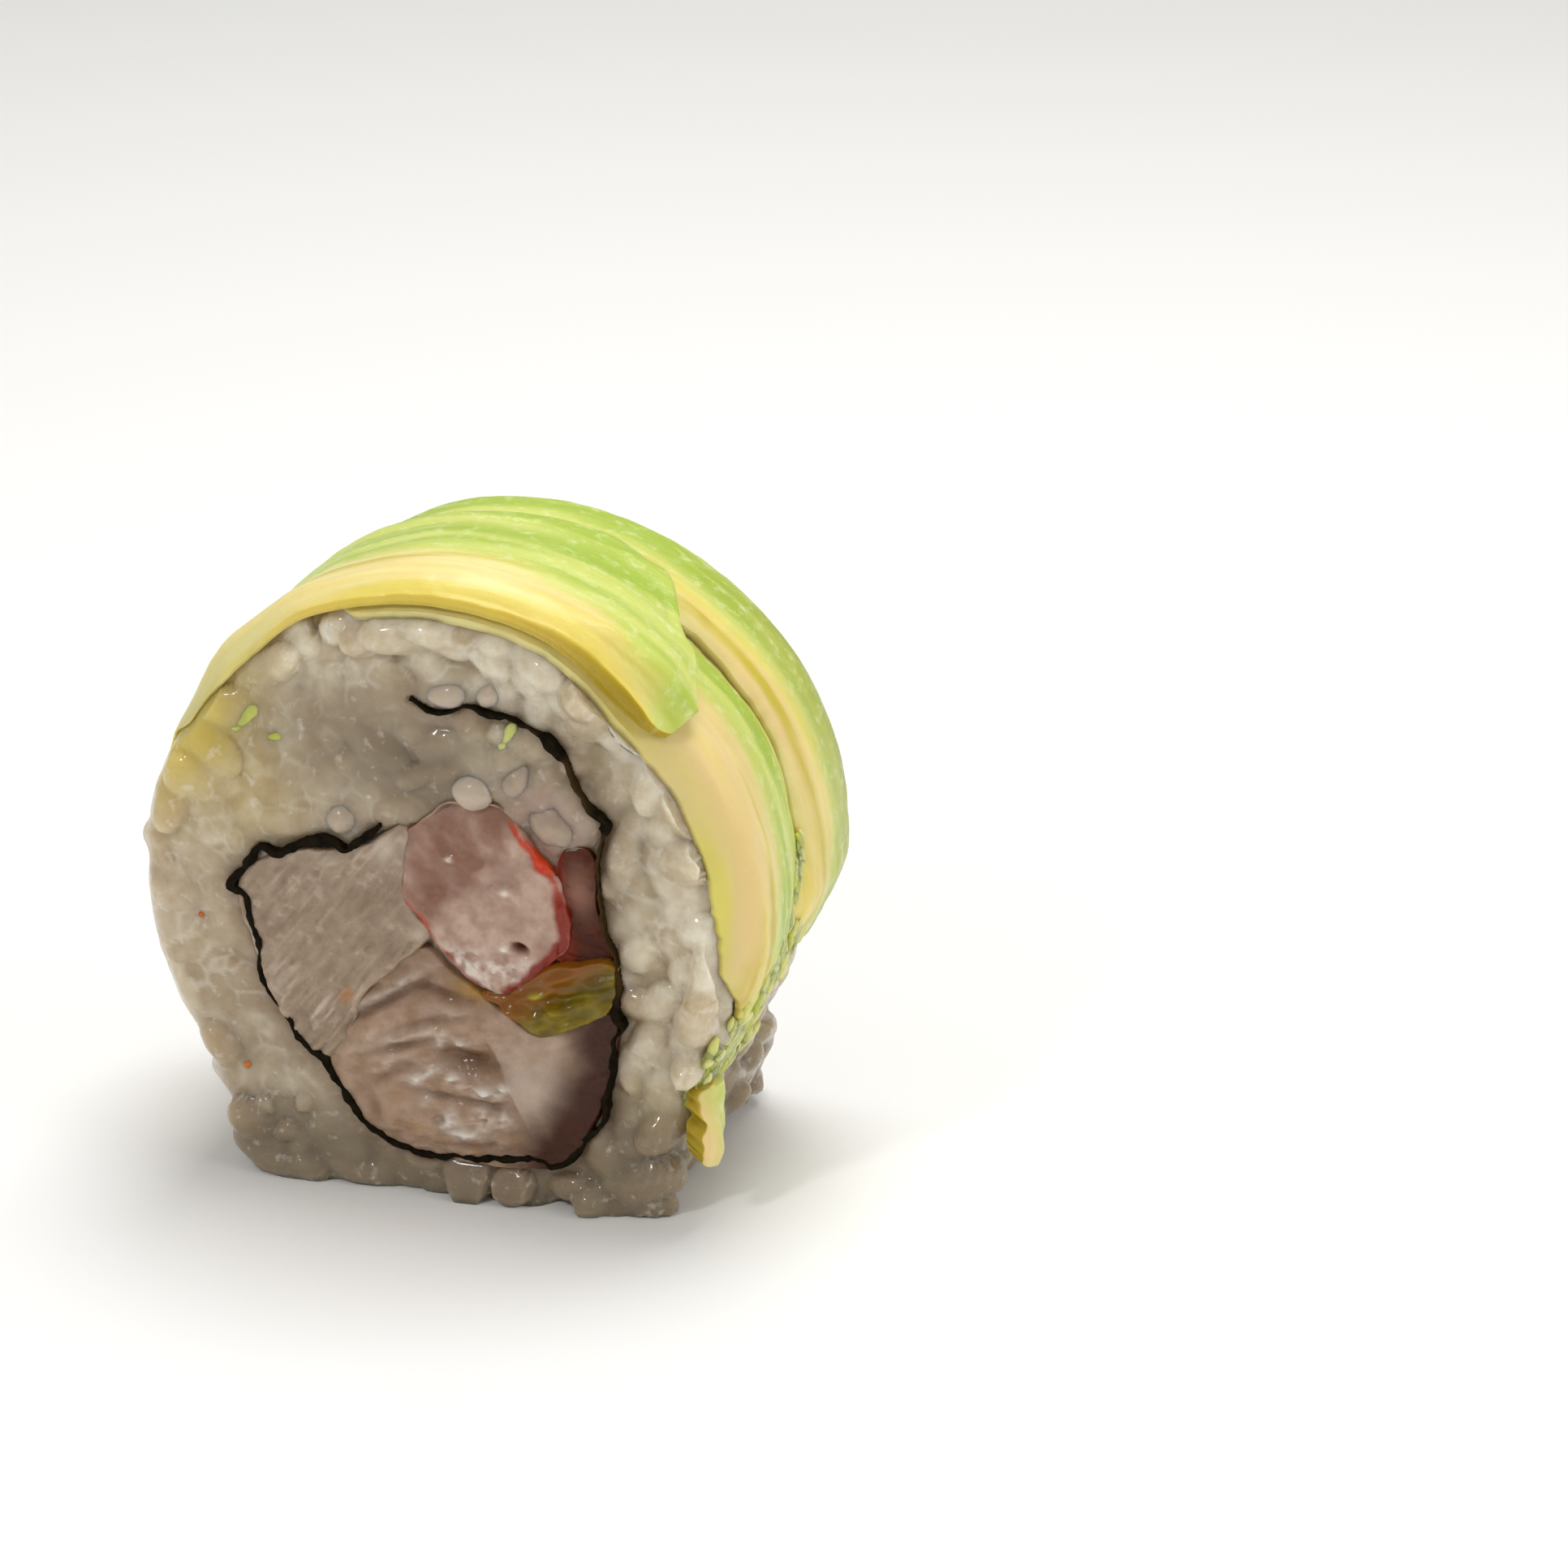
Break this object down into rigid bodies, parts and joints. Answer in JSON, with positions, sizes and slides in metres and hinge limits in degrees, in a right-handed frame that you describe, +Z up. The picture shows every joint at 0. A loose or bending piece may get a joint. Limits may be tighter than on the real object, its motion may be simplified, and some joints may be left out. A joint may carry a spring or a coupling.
{
  "type": "octopus shrimp roll",
  "caption": "Piece of inside-out sushi roll: rice outside, nori round octopus, shrimp and avocado, with avocado slices draped over the top. It stands on its flat side.",
  "frame": {"origin": "on the resting plane, under the middle of the piece", "axes": "+Z up, the roll's axis along Y, and the cut face that shows the filling looks towards -Y"},
  "size_m": [0.0437, 0.0248, 0.0435],
  "materials": {
    "rice": "moist, glossy cooked grains",
    "nori": "damp, dark and slightly ragged",
    "octopus": "moist, fibrous cut meat",
    "shrimp": "moist, smooth cut meat with a red rim",
    "shrimp_skin": "moist and translucent",
    "avocado": "moist, waxy flesh, cream to green",
    "avocado_dark": "moist, crushed flesh"
  },
  "bodies": {
    "root": {"rice": "rice", "nori": "nori", "octopus_upper": "octopus", "octopus_lower": "octopus", "shrimp": "shrimp", "shrimp_strip": "shrimp_skin", "filling_avocado": "avocado_dark", "avocado_slice_front": "avocado", "avocado_slice_side": "avocado", "avocado_slice_back": "avocado", "avocado_scrap": "avocado"}
  },
  "joints": []
}
